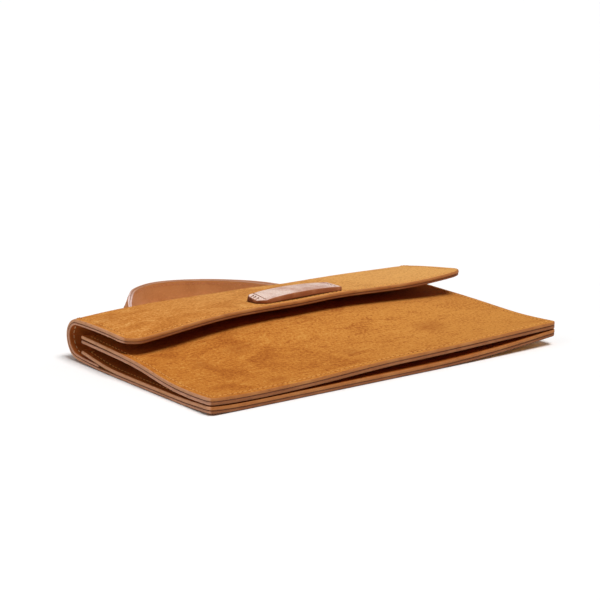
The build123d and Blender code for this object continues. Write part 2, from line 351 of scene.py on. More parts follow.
class Nap(Effect):
    """Brushed suede: speckled fibres, strokes of the nap and broad worn patches.

    The purse's left end is darker and more worn than its right end; the right end's paler colour is a painted
    sheen.
    """

    name = "nap"
    takes = {
        "Place": ("Vector", None),
        "Colour": ("Color", (0.5, 0.2, 0.05)),
        "Deep": ("Color", (0.3, 0.1, 0.02)),
        "Lit": ("Color", (0.7, 0.3, 0.08)),
        "Patches": ("Float", 0.5),
        "Speckle": ("Float", 0.5),
        # share of the painted sheen that pales the right end
        "Fade": ("Float", 0.5),
    }
    gives = {"Colour": "Color", "Height": "Float", "Roughness": "Float"}
    broad_scale = 24.0
    stroke_scale = 70.0
    clump_scale = 590.0
    fibre_scale = 1700.0

    def wire(self, graph: Graph, given: dict[str, Socket]) -> dict[str, Socket]:
        """Layers noises from broad to fine.

        Args:
            graph: The group's tree.
            given: What it takes, by name.

        Returns:
            What it gives, by name.
        """
        place = given["Place"]
        along = graph.node("SeparateXYZ", in_0=place).outputs[0]
        broad = graph.noise(graph.stretched(place, (1.0, 1.5, 1.0), 24.0), self.broad_scale, 3.0, 0.5, 0.8)
        slant = graph.stretched(place, (1.0, 2.2, 1.0), -35.0)
        strokes = graph.noise(slant, self.stroke_scale, 4.0, 0.62, 1.2)
        clumps = graph.noise(place, self.clump_scale, 3.0, 0.65)
        fibres = graph.noise(place, self.fibre_scale, 2.0, 0.7)

        worn = graph.times(graph.ramp(broad, 0.50, 0.68), 0.55)
        rubbed = graph.times(graph.ramp(strokes, 0.50, 0.72), 0.6)
        brushed = graph.times(graph.ramp(strokes, 0.48, 0.30), 0.4)
        patch = graph.minus(brushed, graph.math("MAXIMUM", worn, rubbed))
        patch = graph.times(patch, given["Patches"])
        patch = graph.times(patch, graph.ramp(along, 0.02, 0.10, 1.0, 0.45))
        speckle = graph.plus(
            graph.times(graph.minus(clumps, 0.5), 3.0),
            graph.times(graph.minus(fibres, 0.5), 1.6),
        )
        tone = graph.plus(patch, graph.times(speckle, given["Speckle"]))

        # Painted sheen: towards the right end the colour is mixed towards the lit colour.
        sheen_share = graph.times(graph.ramp(along, -0.12, 0.13), given["Fade"])
        colour = graph.mix(sheen_share, given["Colour"], given["Lit"])
        colour = graph.mix(graph.times(tone, -1.0, clamp=True), colour, given["Deep"])
        colour = graph.mix(graph.times(tone, 1.0, clamp=True), colour, given["Lit"])
        pits = graph.times(graph.ramp(clumps, 0.37, 0.25), graph.ramp(along, -0.06, 0.10, 0.5, 0.22))
        colour = graph.mix(pits, colour, given["Deep"])

        height = graph.plus(graph.times(clumps, 0.7), graph.times(fibres, 0.5))
        height = graph.plus(height, graph.times(strokes, 0.4))
        return {"Colour": colour, "Height": height, "Roughness": graph.ramp(strokes, 0.3, 0.7, 0.95, 0.85)}


class Seam(Effect):
    """A stitched seam's pressed channel and the worn rim of a cut ply, from the distance to the rim."""

    name = "seam"
    takes = {
        "Rim": ("Float", 0.01),
        "Inset": ("Float", 0.0038),
        "Width": ("Float", 0.0011),
        "Wear": ("Float", 0.0012),
    }
    gives = {"Press": "Float", "Worn": "Float"}

    def wire(self, graph: Graph, given: dict[str, Socket]) -> dict[str, Socket]:
        """Measures from the rim.

        Args:
            graph: The group's tree.
            given: What it takes, by name.

        Returns:
            What it gives, by name.
        """
        off = graph.math("ABSOLUTE", graph.minus(given["Rim"], given["Inset"]))
        press = graph.ramp(graph.math("DIVIDE", off, given["Width"]), 1.0, 0.0)
        worn = graph.ramp(graph.math("DIVIDE", given["Rim"], given["Wear"]), 1.0, 0.0)
        return {"Press": press, "Worn": worn}


class Fibres(Effect):
    """The cut edge of leather: layers of fibre, dyed unevenly."""

    name = "cut fibres"
    takes = {
        "Place": ("Vector", None),
        "Colour": ("Color", (0.35, 0.15, 0.07)),
        "Deep": ("Color", (0.2, 0.08, 0.04)),
        "Pale": ("Color", (0.5, 0.27, 0.17)),
    }
    gives = {"Colour": "Color", "Height": "Float"}
    streak_scale = 260.0
    blot_scale = 90.0

    def wire(self, graph: Graph, given: dict[str, Socket]) -> dict[str, Socket]:
        """Runs streaks along the ply.

        Args:
            graph: The group's tree.
            given: What it takes, by name.

        Returns:
            What it gives, by name.
        """
        layers = graph.stretched(given["Place"], (1.0, 1.0, 6.0))
        streaks = graph.noise(layers, self.streak_scale, 4.0, 0.65)
        blots = graph.noise(given["Place"], self.blot_scale, 3.0, 0.5)
        streaked = graph.times(graph.ramp(streaks, 0.50, 0.30), 0.45)
        colour = graph.mix(streaked, given["Colour"], given["Deep"])
        colour = graph.mix(graph.times(graph.ramp(blots, 0.45, 0.75), 0.6), colour, given["Pale"])
        return {"Colour": colour, "Height": streaks}


class Grain(Effect):
    """Smooth leather: small creased cells, pores and uneven dye."""

    name = "leather grain"
    takes = {
        "Place": ("Vector", None),
        "Colour": ("Color", (0.4, 0.2, 0.1)),
        "Deep": ("Color", (0.25, 0.1, 0.05)),
        "Pale": ("Color", (0.5, 0.3, 0.2)),
        "Size": ("Float", 900.0),
        "Crease": ("Float", 0.18),
    }
    gives = {"Colour": "Color", "Height": "Float", "Roughness": "Float"}
    drift_scale = 500.0
    drift = 0.0012
    blotch_scale = 60.0
    pore_scale = 700.0

    def wire(self, graph: Graph, given: dict[str, Socket]) -> dict[str, Socket]:
        """Lays cells over blotches.

        Args:
            graph: The group's tree.
            given: What it takes, by name.

        Returns:
            What it gives, by name.
        """
        place = given["Place"]
        shift = graph.node("TexNoise", in_Vector=place, in_Scale=self.drift_scale)
        small = graph.node("VectorMath", operation="SCALE", in_0=shift.outputs[1], in_Scale=self.drift)
        warped = graph.node("VectorMath", operation="ADD", in_0=place, in_1=small.outputs[0])
        cells = graph.node("TexVoronoi", feature="DISTANCE_TO_EDGE", in_Vector=warped.outputs[0])
        graph.fill(cells, Scale=given["Size"])
        crease = graph.ramp(cells.outputs[0], 0.0, 0.18)
        blotch = graph.noise(place, self.blotch_scale, 4.0, 0.6, 0.4)
        pores = graph.noise(place, self.pore_scale, 3.0, 0.6)
        colour = graph.mix(graph.ramp(blotch, 0.35, 0.62), given["Deep"], given["Colour"])
        colour = graph.mix(graph.times(graph.ramp(pores, 0.5, 0.75), 0.6), colour, given["Pale"])
        creased = graph.times(graph.ramp(crease, 1.0, 0.0), given["Crease"])
        colour = graph.mix(creased, colour, given["Deep"])
        height = graph.plus(crease, graph.times(pores, 0.6))
        return {"Colour": colour, "Height": height, "Roughness": graph.ramp(blotch, 0.3, 0.7, 0.62, 0.48)}


# ------------------------------------------------------------------- finishes


@dataclass(frozen=True)
class Finish:
    """What a surface is made of."""

    name: str
    colour: Colour
    deep: Colour
    pale: Colour

    def wire(self, graph: Graph, shader: bpy.types.Node) -> None:
        """Wires the finish.

        Args:
            graph: The material's tree.
            shader: Its Principled shader.
        """
        raise NotImplementedError

    def material(self) -> bpy.types.Material:
        """Finds the finish's material, or makes it on its first use.

        Returns:
            The material.
        """
        found = bpy.data.materials.get(self.name)
        if found:
            return found
        made = bpy.data.materials.new(self.name)
        made.use_nodes = True
        made.diffuse_color = (*self.colour, 1.0)
        self.wire(Graph(made.node_tree), made.node_tree.nodes["Principled BSDF"])
        return made


@dataclass(frozen=True)
class Suede(Finish):
    """Brushed suede with a pressed seam near its rim."""

    patches: float = 0.6
    speckle: float = 0.35
    sheen: float = 0.25
    seam_bump: float = 0.5
    # darkening of the pressed channel: partly the pressed nap's own colour, partly painted shade in the
    # channel
    seam_shade: float = 0.22
    worn_shade: float = 0.3
    marks: tuple[tuple[float, float, float], ...] = ()  # flat place and radius of each hand-brushed mark
    mark_shade: float = 0.34
    mark_drift: float = 0.022  # how ragged the marks are
    painted_sheen: float = 0.5  # how much paler the right end is painted, as a painted sheen
    darker_from: float = 0.0  # flat depth from which the suede turns darker towards the mouth, under the flap, if it does
    darker_run: float = 0.030
    darker_amount: float = 0.4

    def brushed(self, graph: Graph, flat: Socket) -> Socket:
        """Finds where a hand has brushed the nap the other way.

        Args:
            graph: The material's tree.
            flat: The flat place.

        Returns:
            The mask of those places.
        """
        drift = graph.node("TexNoise", in_Vector=flat, in_Scale=55.0, in_Detail=3.0)
        shift = graph.node("VectorMath", operation="SCALE", in_0=drift.outputs[1], in_Scale=self.mark_drift)
        place = graph.node("VectorMath", operation="ADD", in_0=flat, in_1=shift.outputs[0]).outputs[0]
        usual = self.mark_drift / 2
        mask = 0.0
        for a, b, radius in self.marks:
            centre = (a + usual, b + usual, usual)
            off = graph.node("VectorMath", operation="DISTANCE", in_0=place, in_1=centre).outputs["Value"]
            mask = graph.math("MAXIMUM", mask, graph.ramp(off, radius, radius * 0.2))
        return mask

    def wire(self, graph: Graph, shader: bpy.types.Node) -> None:
        """Lays the nap over the flat pattern, with the seam's channel in the bump.

        Args:
            graph: The material's tree.
            shader: Its Principled shader.
        """
        flat = graph.flat()
        seam = Seam().within(graph, Rim=graph.stored("rim"))
        nap = Nap().within(
            graph, Place=flat, Colour=self.colour, Deep=self.deep, Lit=self.pale,
            Patches=self.patches, Speckle=self.speckle, Fade=self.painted_sheen,
        )
        colour = nap.outputs["Colour"]
        if self.marks:
            colour = graph.mix(graph.times(self.brushed(graph, flat), self.mark_shade), colour, self.deep)
        # Darker towards the mouth, under the flap.
        if self.darker_from:
            depth = graph.node("SeparateXYZ", in_0=flat).outputs[1]
            darker_to = self.darker_from + self.darker_run
            darker_mask = graph.ramp(depth, self.darker_from, darker_to, 0.0, self.darker_amount)
            colour = graph.mix(darker_mask, colour, self.deep)
        # The pressed channel is darker: partly the pressed nap's own colour, partly painted shade in the
        # channel.
        colour = graph.mix(graph.times(seam.outputs["Press"], self.seam_shade), colour, self.deep)
        colour = graph.mix(graph.times(seam.outputs["Worn"], self.worn_shade), colour, self.deep)
        height = graph.minus(nap.outputs["Height"], graph.times(seam.outputs["Press"], self.seam_bump))
        graph.fill(
            shader, Base_Color=colour, Roughness=nap.outputs["Roughness"],
            Normal=graph.bump(height, 0.55, 0.0004), Specular_IOR_Level=0.15,
            Sheen_Weight=self.sheen, Sheen_Roughness=0.6, Sheen_Tint=self.pale,
        )


@dataclass(frozen=True)
class CutEdge(Finish):
    """The dyed and lightly burnished edge of a ply, of another colour at the left end. Where that end is
    paler, it is painted light where the edges face the light from the left, and the browner rest is painted
    shade.
    """

    # colour at the left end; a paler one is painted light, and a browner main colour painted shade
    end: Colour = (0.5, 0.25, 0.12)
    end_from: float = -0.1240
    end_to: float = -0.1250
    roughness: float = 0.6
    glue_line: float = 0.85  # how dark the line is where the ply meets the next one; on the tab, whose far side lies on the flap, it is painted shade
    line_from: float = 0.24  # shares of the ply's thickness over which that line darkens
    line_to: float = 0.06

    def wire(self, graph: Graph, shader: bpy.types.Node) -> None:
        """Lays fibres along the edge, and the dark line where the ply meets the next one, which on the tab is
        painted shade where it lies on the flap.

        Args:
            graph: The material's tree.
            shader: Its Principled shader.
        """
        along = graph.node("SeparateXYZ", in_0=graph.flat()).outputs[0]
        colour = graph.mix(graph.ramp(along, self.end_from, self.end_to), self.colour, self.end)
        cut = Fibres().within(graph, Place=graph.place(), Colour=colour, Deep=self.deep, Pale=self.pale)
        line = graph.ramp(graph.stored("near"), self.line_from, self.line_to)
        # The dark line at the far side: a joint between plies, and on the tab painted shade on the flap.
        colour = graph.mix(graph.times(line, self.glue_line), cut.outputs["Colour"], self.deep)
        graph.fill(
            shader, Base_Color=colour, Roughness=self.roughness,
            Normal=graph.bump(cut.outputs["Height"], 0.4, 0.0003), Specular_IOR_Level=0.3,
        )


@dataclass(frozen=True)
class Leather(Finish):
    """Smooth leather with a seam near its rim."""

    size: float = 900.0  # grain cells in a metre
    bump: float = 0.25
    specular: float = 0.35
    crease: float = 0.18
    seam_inset: float = 0.0022
    seam_width: float = 0.0009
    seam_bump: float = 1.6
    # darkening of the pressed channel: partly the leather's own colour there, partly painted shade in the
    # channel
    seam_shade: float = 0.2
    worn_shade: float = 0.35

    def wire(self, graph: Graph, shader: bpy.types.Node) -> None:
        """Lays the grain over the flat pattern.

        Args:
            graph: The material's tree.
            shader: Its Principled shader.
        """
        grain = Grain().within(
            graph, Place=graph.flat(), Colour=self.colour, Deep=self.deep, Pale=self.pale,
            Size=self.size, Crease=self.crease,
        )
        rim = graph.stored("rim")
        seam = Seam().within(graph, Rim=rim, Inset=self.seam_inset, Width=self.seam_width)
        # The pressed channel is darker: partly the leather's own colour there, partly painted shade in the
        # channel.
        pressed = graph.times(seam.outputs["Press"], self.seam_shade)
        colour = graph.mix(pressed, grain.outputs["Colour"], self.deep)
        colour = graph.mix(graph.times(seam.outputs["Worn"], self.worn_shade), colour, self.deep)
        height = graph.minus(grain.outputs["Height"], graph.times(seam.outputs["Press"], self.seam_bump))
        graph.fill(
            shader, Base_Color=colour, Roughness=grain.outputs["Roughness"],
            Normal=graph.bump(height, self.bump, 0.0002), Specular_IOR_Level=self.specular,
        )


@dataclass(frozen=True)
class Thread(Finish):
    """Twisted waxed thread."""

    strand_scale: float = 2600.0

    def wire(self, graph: Graph, shader: bpy.types.Node) -> None:
        """Lays fine slanting strands.

        Args:
            graph: The material's tree.
            shader: Its Principled shader.
        """
        slant = graph.stretched(graph.place(), (1.0, 2.0, 1.0), 35.0)
        strands = graph.noise(slant, self.strand_scale, 2.0, 0.5)
        graph.fill(
            shader, Base_Color=graph.mix(graph.ramp(strands, 0.35, 0.65), self.deep, self.colour),
            Roughness=0.7, Normal=graph.bump(strands, 0.5, 0.0002), Specular_IOR_Level=0.3,
        )


@dataclass(frozen=True)
class Nickel(Finish):
    """Nickel plate with a faint turned finish."""

    scuff_scale: float = 700.0

    def wire(self, graph: Graph, shader: bpy.types.Node) -> None:
        """Scuffs the plate.

        Args:
            graph: The material's tree.
            shader: Its Principled shader.
        """
        scuffs = graph.noise(graph.stretched(graph.place(), (1.0, 12.0, 1.0)), self.scuff_scale, 3.0)
        graph.fill(
            shader, Base_Color=graph.mix(scuffs, self.deep, self.colour),
            Roughness=graph.ramp(scuffs, 0.3, 0.7, 0.2, 0.42), Metallic=1.0,
        )


# Flat place and radius of each mark that a hand has brushed into the nap.
PANEL_MARKS = (
    (0.060, 0.039, 0.016),
    (-0.011, 0.026, 0.010),
    (-0.064, 0.061, 0.012),
    (-0.095, 0.056, 0.010),
    (-0.071, 0.012, 0.010),
)
FLAP_MARKS = (
    (-0.100, 0.165, 0.012),
    (-0.082, 0.160, 0.009),
    (-0.030, 0.166, 0.010),
    (-0.112, 0.188, 0.012),
)
SUEDE = Suede(
    "tan suede", tint(188, 115, 41), tint(146, 72, 17), tint(208, 148, 72),
    patches=1.0, speckle=1.0, sheen=0.04, marks=PANEL_MARKS, darker_from=0.072,
)
FLAP_SUEDE = Suede(
    "flap suede", tint(198, 126, 53), tint(160, 89, 27), tint(230, 176, 104),
    patches=0.9, speckle=0.95, sheen=0.06, marks=FLAP_MARKS, painted_sheen=0.66,
)
INNER_SUEDE = Suede(
    "inner suede", tint(168, 92, 34), tint(120, 58, 18), tint(190, 116, 52),
    patches=0.4, speckle=0.6, sheen=0.0,
)
# The paler end colours of these edges are painted light at the purse's left end, and their browner main
# colours painted shade on the edges facing the front.
SUEDE_EDGE = CutEdge(
    "suede edge", tint(168, 102, 47), tint(98, 50, 22), tint(184, 124, 67), tint(198, 140, 100)
)
LEAF_EDGE = CutEdge(
    "leaf edge", tint(142, 84, 43), tint(96, 50, 26), tint(166, 108, 66), tint(196, 140, 108)
)
# Painted shade: the same cut edge, darker where the ply lies close to the table.
SHADED_LOW_EDGE = CutEdge(
    "shaded low edge", tint(136, 79, 40), tint(88, 45, 22), tint(158, 101, 60), tint(190, 134, 102)
)
# Painted contact shadow: the near-black finish of the rounded rim that faces the table.
CONTACT_SHADE_EDGE = CutEdge(
    "painted contact shadow edge", tint(84, 48, 30), tint(56, 30, 18), tint(104, 64, 42), tint(92, 56, 38)
)
# The strap edge's pale end is a painted highlight near the strap's left end.
STRAP_EDGE = CutEdge(
    "strap edge", tint(176, 124, 92), tint(150, 98, 66), tint(196, 150, 124), tint(232, 204, 198),
    end_from=0.085, end_to=0.055, glue_line=0.5,
)
# On the tab the dark line along the far side of the edge is painted shade where the tab lies on the flap.
TAB_EDGE = CutEdge(
    "tab edge", tint(154, 88, 50), tint(112, 58, 34), tint(206, 142, 100), tint(112, 60, 38),
    end_from=-0.0285, end_to=-0.0300,
)
STRAP = Leather("strap leather", tint(199, 125, 63), tint(188, 114, 55), tint(211, 140, 77))
TAB = Leather(
    "tab leather", tint(250, 224, 210), tint(204, 156, 136), tint(255, 246, 244),
    size=800.0, bump=1.0, specular=0.5, crease=0.45,
)
LINING = Leather(
    "lining leather", tint(188, 101, 38), tint(176, 91, 33), tint(202, 118, 52),
    size=1500.0, bump=0.15, specular=0.3,
)
THREAD = Thread("tan thread", tint(238, 176, 96), tint(196, 128, 56), tint(240, 190, 120))
STRAP_THREAD = Thread("strap thread", tint(214, 140, 90), tint(176, 104, 62), tint(220, 152, 98))
TAB_THREAD = Thread("tab thread", tint(204, 160, 140), tint(172, 126, 106), tint(214, 172, 152))
PALE_THREAD = Thread("pale thread", tint(250, 222, 176), tint(214, 166, 112), tint(255, 235, 200))
# Painted shade: a dark finish for the beads that stand for the holes of the stitches.
HOLE_SHADE = Thread("stitch hole shade", tint(128, 72, 28), tint(92, 48, 18), tint(140, 84, 40))
NICKEL = Nickel("nickel", tint(205, 203, 198), tint(150, 148, 144), tint(230, 230, 226))


# --------------------------------------------------------------------- sheets


class Skin:
    """The surface of one or more solids."""

    start_off = 0.1  # how far above or below the table a look starts
    steps_in = (0.0, 0.0003, 0.0008, 0.0016, 0.0028)  # how far inwards it moves when it meets nothing

    def __init__(self, nodes: Nodes, *names: str) -> None:
        """Takes the solids' faces.

        Args:
            nodes: The solids, by name.
            *names: The ones to take.
        """
        bm = bmesh.new()
        for name in names:
            bm.from_mesh(nodes[name].data)
        bmesh.ops.remove_doubles(bm, verts=bm.verts, dist=1e-6)
        self.tree = BVHTree.FromBMesh(bm)
        self.low = Vector([min(v.co[k] for v in bm.verts) for k in range(3)])
        self.high = Vector([max(v.co[k] for v in bm.verts) for k in range(3)])
        bm.free()

    def hit(self, start: Vector, way: Vector) -> Vector | None:
        """The first point met from a start."""
        return self.tree.ray_cast(start, way)[0]

    def height(self, x: float, y: float, side: Side) -> float:
        """Height of the surface seen from above or below a place.

        Args:
            x: Place along the length.
            y: Place across it.
            side: Where it is seen from.

        Returns:
            The height there, or beside it when the place is just past an edge.
        """
        way = Vector((0, 0, side.value))
        start = Vector((x, y, -self.start_off * side.value))
        middle = (self.low + self.high) / 2
        inward = Vector((math.copysign(1.0, middle.x - x), math.copysign(1.0, middle.y - y), 0))
        for step in self.steps_in:
            found = self.hit(start + inward * step, way)
            if found is not None:
                return found.z
        return self.tree.find_nearest(Vector((x, y, middle.z)))[0].z


def round_off(across: float, along: float, radius: float) -> tuple[float, float]:
    """Moves a place near a square corner so that the corner gets a radius.

    Args:
        across: Distance from one edge.
        along: Distance from the other edge.
        radius: The corner's radius.

    Returns:
        Both distances, moved.
    """
    dx, dy = radius - across, radius - along
    if dx <= 0 or dy <= 0:
        return across, along
    scale = max(dx, dy) / math.hypot(dx, dy)
    return radius - dx * scale, radius - dy * scale


def finish_mesh(name: str, bm: Mesh, finishes: list[Finish]) -> Piece:
    """Turns a bmesh into an object with its finishes.

    Args:
        name: The piece's name.
        bm: Its mesh, freed here.
        finishes: One for each material index.

    Returns:
        The piece, at the origin.
    """
    for face in bm.faces:
        face.smooth = True
    mesh = bpy.data.meshes.new(name)
    bm.to_mesh(mesh)
    bm.free()
    for finish in finishes:
        mesh.materials.append(finish.material())
    piece = bpy.data.objects.new(name, mesh)
    bpy.context.scene.collection.objects.link(piece)
    log.info("%s: %d faces", name, len(mesh.polygons))
    return piece


def thickened(bm: Mesh) -> list[bmesh.types.BMVert]:
    """Copies a sheet's faces to its far side and closes its rim.

    Args:
        bm: The sheet.

    Returns:
        The far side's vertices, still where the near side's are.
    """
    made = bmesh.ops.extrude_face_region(bm, geom=bm.faces[:], use_keep_orig=True)
    return [part for part in made["geom"] if isinstance(part, bmesh.types.BMVert)]


@dataclass
class Ply:
    """One ply of leather, cut flat and laid on a surface, with a rounded cut edge all round."""

    name: str
    thickness: float
    face: Finish
    edge: Finish
    left: float
    right: float
    grow: float = 1.0  # 1 or -1, whichever makes the surface's normal point outwards
    front_radius: float = 0.0
    far_radius: float = 0.0
    rim_round: float = 0.0004  # rounding of the outward face's rim
    far_round: float = 0.00022  # rounding of the rim that meets the next ply
    base: float = 0.0  # flat depth up to which the ply is close to the table, if it is; there its cut edge is painted darker as shade
    faces_table: float = -0.55  # a rim faces the table where its normal's Z is below this; there it gets the painted contact shadow
    ripple: float = 0.00008
    fine: float = 0.0009  # grid step within the margin
    coarse: float = 0.0024  # grid step between the margins
    margin: float = 0.0045
    inset: float = 0.00012  # how far inside the outline the surface is looked for
    probe: float = 0.0006  # how far apart two places are from which a slope is taken
    rest: float = 0.00012  # least height above the table

    def reach(self, a: float) -> float:
        """Flat depth of the ply at a place along its length."""
        raise NotImplementedError

    def point(self, a: float, b: float) -> Vector:
        """Place on the surface of a flat place."""
        raise NotImplementedError

    def cut(self, a: float, b: float) -> tuple[float, float]:
        """Moves a flat place where a corner is rounded.

        Args:
            a: Flat place along the length.
            b: Flat place from the front edge.

        Returns:
            The flat place, moved.
        """
        deep = self.reach(a)
        for at_left in (True, False):
            for at_front, radius in ((True, self.front_radius), (False, self.far_radius)):
                across = a - self.left if at_left else self.right - a
                along = b if at_front else deep - b
                across, along = round_off(across, along, radius)
                a = self.left + across if at_left else self.right - across
                b = along if at_front else deep - along
        return a, b

    def rim(self, a: float, b: float) -> float:
        """Distance of a flat place from the ply's outline, by its straight edges."""
        return max(0.0, min(a - self.left, self.right - a, b, self.reach(a) - b))

    def stand(self, a: float, b: float) -> tuple[Vector, Vector]:
        """Finds a flat place on the surface.

        Args:
            a: Flat place along the length.
            b: Flat place from the front edge.

        Returns:
            The place, and the surface's outward normal there.
        """
        here = self.point(a, b)
        along = self.point(a + self.probe, b) - here
        across = self.point(a, b + self.probe) - here
        return here, along.cross(across).normalized() * self.grow

    def pushed(self, place: Vector, b: float, look_a: float, look_b: float) -> tuple[float, float]:
        """Carries a place near the rim out to the rim.

        Args:
            place: The place on the surface that was looked up.
            b: The flat depth that is wanted.
            look_a: The flat place along the length that was looked up.
            look_b: The flat depth that was looked up, inside the outline.

        Returns:
            Its Y and Z.
        """
        if b == look_b:
            return place.y, place.z
        back = self.probe if b < look_b else -self.probe
        way = (place - self.point(look_a, look_b + back)).normalized()
        out = place + way * abs(b - look_b)
        return out.y, out.z

    def laid(self, a: float, b: float) -> Vector:
        """Finds a flat place in space, out to the rim.

        Args:
            a: Flat place along the length.
            b: Flat place from the front edge.

        Returns:
            The place.
        """
        look_a = min(max(a, self.left + self.inset), self.right - self.inset)
        look_b = min(max(b, self.inset), self.reach(look_a) - self.inset)
        place = self.point(look_a, look_b)
        y, z = self.pushed(place, b, look_a, look_b)
        return Vector((a if abs(a) > abs(look_a) else place.x, y, z))

    def lay(self) -> Mesh:
        """Lays a grid over the surface.

        Returns:
            The sheet. Its vertices store their flat place, their distance from the rim, and near,
            which is 1 on the outward face and 0 on the other.
        """
        bm = bmesh.new()
        across = stops(self.right - self.left, self.fine, self.coarse, self.margin)
        deepest = max(self.reach(self.left), self.reach(self.right))
        along = stops(deepest, self.fine, self.coarse, self.margin)
        last_i, last_j = len(across) - 1, len(along) - 1
        bmesh.ops.create_grid(bm, x_segments=last_i, y_segments=last_j, size=1.0)
        rim = bm.verts.layers.float.new("rim")
        flat_a = bm.verts.layers.float.new("flat_a")
        flat_b = bm.verts.layers.float.new("flat_b")
        near = bm.verts.layers.float.new("near")
        for vert in bm.verts:
            i = round((vert.co.x + 1) / 2 * last_i)
            j = round((vert.co.y + 1) / 2 * last_j)
            a = self.left + across[i]
            b = along[j] / deepest * self.reach(a)
            a, b = self.cut(a, b)
            on_rim = i in (0, last_i) or j in (0, last_j)
            vert[rim] = 0.0 if on_rim else max(self.rim(a, b), JUST_INSIDE)
            vert[near] = 1.0
            vert[flat_a] = a
            vert[flat_b] = b
            vert.co = self.laid(a, b)
        bm.normal_update()
        if self.grow < 0:
            bmesh.ops.reverse_faces(bm, faces=bm.faces)
            bm.normal_update()
        return bm

    def ripple_face(self, bm: Mesh) -> None:
        """Gives the sheet the slight unevenness of soft leather, in waves of 30 and 7 mm.

        Args:
            bm: The sheet.
        """
        for vert in bm.verts:
            p = vert.co * (1 / MM)
            wave = noise.noise(Vector((p.x / 31, p.y / 23, p.z / 23 + 7.0)))
            wave += 0.4 * noise.noise(Vector((p.x / 7, p.y / 8, p.z / 8)))
            vert.co += vert.normal * wave * self.ripple

    def thicken(self, bm: Mesh) -> None:
        """Adds the far side and the cut edge.

        Args:
            bm: The sheet.
        """
        near = bm.verts.layers.float["near"]
        for vert in thickened(bm):
            vert.co -= vert.normal * self.thickness
            vert[near] = 0.0
        bmesh.ops.recalc_face_normals(bm, faces=bm.faces)

    def round_rims(self, bm: Mesh) -> None:
        """Numbers the faces' finishes, and rounds both rims of the cut edge.

        Args:
            bm: The ply.
        """
        rim, flat_b, near = (bm.verts.layers.float[name] for name in ("rim", "flat_b", "near"))
        for face in bm.faces:
            face.material_index = Part.EDGE if all(v[rim] == 0.0 for v in face.verts) else Part.FACE
        for wanted, size in ((1.0, self.rim_round), (0.0, self.far_round)):
            corner = [
                edge for edge in bm.edges
                if len({face.material_index for face in edge.link_faces}) == 2
                and all(v[near] == wanted for v in edge.verts)
            ]
            rounded = bmesh.ops.bevel(
                bm, geom=corner, offset=size, segments=3, affect="EDGES",
                profile=0.5, material=-1, clamp_overlap=True,
            )
            for face in rounded["faces"]:
                face.normal_update()
                low = face.verts[0][flat_b] < self.base
                # A rim near the table that faces it takes the painted contact shadow.
                under = wanted and low and face.normal.z < self.faces_table
                face.material_index = Part.UNDER if under else Part.EDGE
        # Cut edges near the table take the darker finish, as painted shade.
        for face in bm.faces:
            if face.material_index == Part.EDGE and face.verts[0][flat_b] < self.base:
                face.material_index = Part.LOW

    def build(self) -> Piece:
        """Lays the ply, gives it its thickness and rounds its rims.

        Returns:
            The piece.
        """
        bm = self.lay()
        self.ripple_face(bm)
        self.thicken(bm)
        self.round_rims(bm)
        for vert in bm.verts:
            vert.co.z = max(vert.co.z, self.rest)
        flat_a, flat_b = (bm.verts.layers.float[name] for name in ("flat_a", "flat_b"))
        uv = bm.loops.layers.uv.new("flat")
        for face in bm.faces:
            for loop in face.loops:
                loop[uv].uv = (loop.vert[flat_a], loop.vert[flat_b])
        finishes = [self.face, self.edge]
        # Near the table a ply also gets the painted contact shadow on its rim and painted shade on its cut
        # edge.
        if self.base:
            finishes += [CONTACT_SHADE_EDGE, SHADED_LOW_EDGE]
        return finish_mesh(self.name, bm, finishes)


@dataclass
class PanelPly(Ply):
    """A ply that lies on one panel's surface."""

    skin: Skin | None = None
    side: Side = Side.ABOVE
    front: float = 0.0
    depth: float = 0.1

    def reach(self, a: float) -> float:
        """The panel's depth, the same all along."""
        return self.depth

    def point(self, a: float, b: float) -> Vector:
        """Drops the flat place onto the panel."""
        y = self.front + b
        return Vector((a, y, self.skin.height(a, y, self.side)))


@dataclass
class WrapPly(Ply):
    """A ply that runs from the back panel round the fold into the flap."""

    back: Skin | None = None
    over: Skin | None = None
    both: Skin | None = None
    start: float = 0.0
    turn: float = 0.0627  # Y of the fold's centre
    centre_z: float = 0.0141
    arc: float = 0.0385  # flat depth of the fold
    slit: float = 0.03  # angle within which the slit between the solids isn't looked into
    away: float = 0.05  # how far from the fold's centre a look from outside starts
    reach_left: float = 0.0575
    reach_right: float = 0.0545
    outside: bool = True

    def flap(self, a: float) -> float:
        """Depth of the flap at a place along the length."""
        share = (a - self.left) / (self.right - self.left)
        return self.reach_left + (self.reach_right - self.reach_left) * share

    def reach(self, a: float) -> float:
        """Back panel, fold and flap together."""
        return self.turn - self.start + self.arc + self.flap(a)

    def point(self, a: float, b: float) -> Vector:
        """Finds the flat place on the back panel, the fold or the flap.

        Args:
            a: Flat place along the length.
            b: Flat place from the front edge.

        Returns:
            The place.
        """
        bend = b - (self.turn - self.start)
        if bend <= 0:
            y = self.start + b
            return Vector((a, y, self.back.height(a, y, Side.BELOW if self.outside else Side.ABOVE)))
        if bend >= self.arc:
            y = self.turn - (bend - self.arc)
            return Vector((a, y, self.over.height(a, y, Side.ABOVE if self.outside else Side.BELOW)))
        angle = -math.pi / 2 + math.pi * bend / self.arc
        if abs(angle) < self.slit:
            angle = self.slit if angle >= 0 else -self.slit
        way = Vector((0, math.cos(angle), math.sin(angle)))
        centre = Vector((a, self.turn, self.centre_z))
        if self.outside:
            return self.both.hit(centre + way * self.away, -way)
        return self.both.hit(centre, way)


# ------------------------------------------------------------------- stitches


